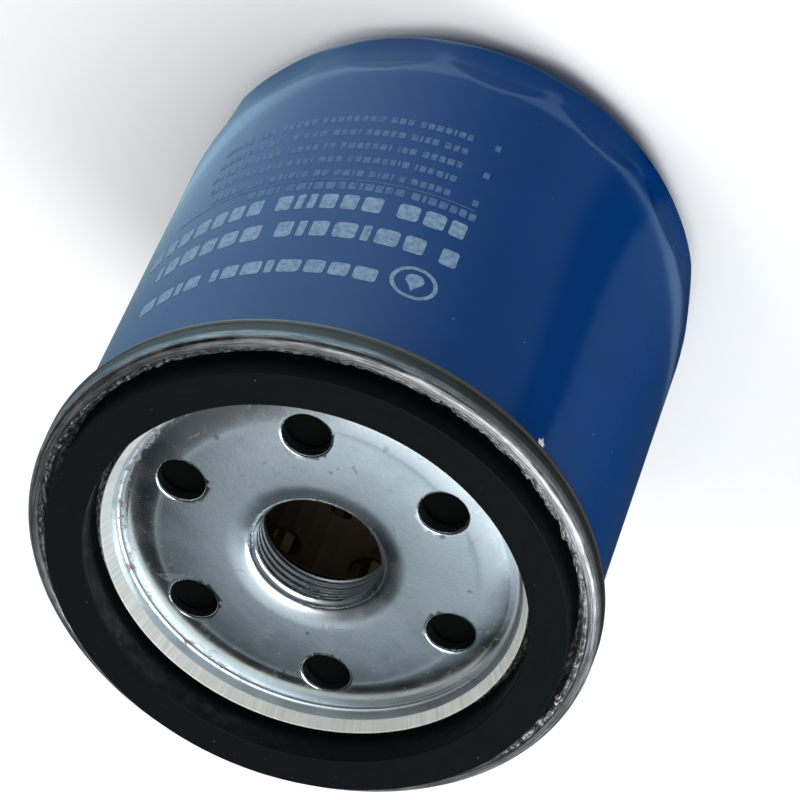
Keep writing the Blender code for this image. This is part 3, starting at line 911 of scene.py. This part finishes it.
def make_studio(middle):
    """A pale floor under three soft lamps, in a room that is dim at middle heights and towards +X."""
    reach = 4.0
    corners = [(-reach, -reach, 0), (reach, -reach, 0), (reach, reach, 0), (-reach, reach, 0)]
    floor = new_object("table_top", corners, [(0, 1, 2, 3)])
    g = Graph("table_white", Roughness=0.9, IOR=1.2)
    g.set("Base Color", (0.9, 0.9, 0.9, 1.0))
    dress(floor, g.material)
    make_reflection_card()

    world = bpy.data.worlds.new("room")
    bpy.context.scene.world = world
    world.use_nodes = True
    tree = world.node_tree
    background = tree.nodes["Background"]
    coordinates = tree.nodes.new("ShaderNodeTexCoord")
    split = tree.nodes.new("ShaderNodeSeparateXYZ")
    ramp = tree.nodes.new("ShaderNodeValToRGB")
    tree.links.new(coordinates.outputs["Generated"], split.inputs[0])
    tree.links.new(split.outputs[2], ramp.inputs[0])
    stops = (
        (0.0, (0.95, 0.95, 0.95)),
        (0.06, (0.6, 0.62, 0.64)),
        (0.2, (0.07, 0.085, 0.1)),
        (0.63, (0.045, 0.065, 0.075)),
        (0.72, (0.25, 0.30, 0.33)),
        (0.79, (0.78, 0.87, 0.94)),
        (0.97, (1.0, 1.05, 1.1)),
    )
    elements = ramp.color_ramp.elements
    while len(elements) < len(stops):
        elements.new(0.5)
    for element, (at, colour) in zip(elements, stops):
        element.position, element.color = at, (*colour, 1)
    tree.links.new(ramp.outputs[0], background.inputs[0])
    dimmer = tree.nodes.new("ShaderNodeMapRange")
    tree.links.new(split.outputs[0], dimmer.inputs["Value"])
    for socket, value in (("From Min", 0.04), ("From Max", 0.13), ("To Min", 1.0), ("To Max", 0.12)):
        dimmer.inputs[socket].default_value = value
    tree.links.new(dimmer.outputs["Result"], background.inputs[1])

    add_light("top_softbox", (-0.14, -0.12, 1.0), middle, 0.6, 4.0)
    key = add_light("key_softbox", (0.5, -0.1, 0.8), middle, 0.7, 5.0, (1.0, 0.99, 0.97))
    key.visible_glossy = False  # so that it leaves no glare on the bright metal
    add_light("side_softbox", (-0.62, 0.17, 0.76), middle, 0.42, 5.0, (0.96, 0.98, 1.0))


def make_reflection_card():
    """A glowing blue-white card on the floor, seen only by mirror-like reflections.

    It is brightest towards the front and +X, has one darker gap that shows as a streak on the can,
    is darker towards both sides and the back, and has a bright inner band for the wrench flats."""
    steps, rings = 180, (CAN_RADIUS - SHOULDER + 0.7, 300.0)
    lift = 0.4
    verts, faces = [], []
    for step in range(steps):
        angle = 2 * math.pi * step / steps
        for ring in rings:
            verts.append((ring * math.cos(angle) * MM, ring * math.sin(angle) * MM, lift * MM))
        after = (step + 1) % steps
        faces.append((2 * step, 2 * step + 1, 2 * after + 1, 2 * after))
    card = new_object("reflection_card", verts, faces)
    g = Graph("card_grey", Roughness=1.0, IOR=1.0)
    # degrees from the front, positive towards +X
    angle = g.product(g.math("ARCTAN2", g.x, g.product(g.y, -1.0)), 180 / math.pi)
    # turned a little with distance, so that the streak stands upright on the can
    turn = g.math("ADD", angle, g.rise(g.radius, 46, 102, 0, 11))
    gap = g.product(g.rise(turn, -54, -49), g.rise(turn, -38, -28, 1, 0))
    shade = g.product(
        g.rise(turn, -12, 42, 0.25, 1.3),
        g.math("SUBTRACT", 1.0, gap),
        # darker towards both sides, where the paint mirrors it more strongly
        g.rise(turn, -95, -52, 0.2, 1.0),
        g.rise(turn, 60, 140, 1.0, 0.25),
        g.rise(turn, 140, 175, 1.0, 0.16),
        g.rise(g.radius, 38.0, 45.0, 0.4, 1.0),
    )
    # light caught only by the slope at the top of the wrench flats
    slope = g.product(
        g.rise(g.radius, 42.6, 44.0),
        g.rise(g.radius, 45.8, 47.2, 1, 0),
        g.rise(g.math("ABSOLUTE", angle), 50, 110, 0.7, 0.1),
    )
    shade = g.math("ADD", shade, slope)
    g.set("Base Color", (0.0, 0.0, 0.0, 1.0))
    g.set("Emission Color", (0.55, 0.84, 1.0, 1.0))
    g.set("Emission Strength", shade)
    dress(card, g.material)
    card.visible_camera = card.visible_diffuse = card.visible_shadow = False
    return card


def make_camera():
    """The photograph's viewpoint: from -Y and above, rolled so that the gasket end is at the lower left."""
    distance, elevation, roll, lens = 0.6224, 46.1, 157.7, 208.84
    base = Vector((0, 0, GASKET_TOP * MM))
    aim = Vector((-0.0024, 0, 0.0391))
    away = math.radians(elevation)
    data = bpy.data.cameras.new("camera")
    data.lens, data.sensor_width = lens, 36.0
    data.clip_start = 0.01
    camera = bpy.data.objects.new("camera", data)
    camera.location = base + Vector((0, -math.cos(away), math.sin(away))) * distance
    turn = (aim - camera.location).to_track_quat("-Z", "Y").to_matrix()
    turn = turn @ Matrix.Rotation(-math.radians(roll), 3, "Z")
    camera.rotation_euler = turn.to_euler()
    bpy.context.scene.collection.objects.link(camera)
    bpy.context.scene.camera = camera


# ---------------------------------------------------------------- the filter


def main():
    scene = bpy.context.scene
    scene.view_settings.view_transform = "Standard"

    make_camera()
    make_studio((0, 0, GASKET_TOP * MM / 2))

    dress(make_can(), blue_paint())
    large, small = make_print()
    dress(large, print_ink("pale_ink", (0.11, 0.19, 0.34), (0.24, 0.36, 0.50)))
    dress(small, print_ink("faint_ink", (0.025, 0.09, 0.24), (0.09, 0.18, 0.33)))
    dress(make_seam(), seam_steel())
    dress(make_gasket(), gasket_rubber())
    dress(make_plate(), zinc())

    steel = inner_steel("cap_steel", (0.52, 0.50, 0.46), 0.42)
    spring = inner_steel("spring_wire", (0.40, 0.40, 0.41), 0.3)
    tube = inner_steel("tube_steel", (0.34, 0.27, 0.19), 0.4)
    # black valve rubber, darkened further as painted shade inside the inlet holes, where it shows
    rubber_and_shade_dark, rubber_and_shade_light = (0.0010, 0.0013, 0.0012), (0.0024, 0.0028, 0.0026)
    rubber = soft_material("valve_rubber_and_painted_shade", rubber_and_shade_dark, rubber_and_shade_light, 0.6, 1.2, 0.02, 1.08)
    glue = soft_material("plastisol", (0.5, 0.45, 0.34), (0.68, 0.63, 0.5), 0.6, 0.5, 0.05)
    compound = soft_material("seam_sealer", (0.2, 0.18, 0.14), (0.36, 0.33, 0.27), 0.6, 0.9, 0.05)
    by_slot = {
        "bare_steel": steel,
        "spring_steel": spring,
        "black_rubber": rubber,
        "adhesive": glue,
        "compound": compound,
        "filter_paper": filter_paper(),
    }
    coils = (
        ("support_coil", "element_spring", "housing", 0.9, 4, "element_float", 2.0, True),
        ("valve_coil", "bypass_spring", "element", 0.5, 4, "bypass_lift", 3.0, False),
    )
    for coil in coils:
        dress(make_coil(*coil), spring)
    slots = {row["node"]: row["material_slot"] for row in frame["record"]["subparts"]}
    for node, obj in frame["nodes"].items():
        if obj.hide_render:
            continue
        dress(obj, tube if node == "centre_tube" else by_slot[slots[node]])
        finish_mesh(obj)


main()
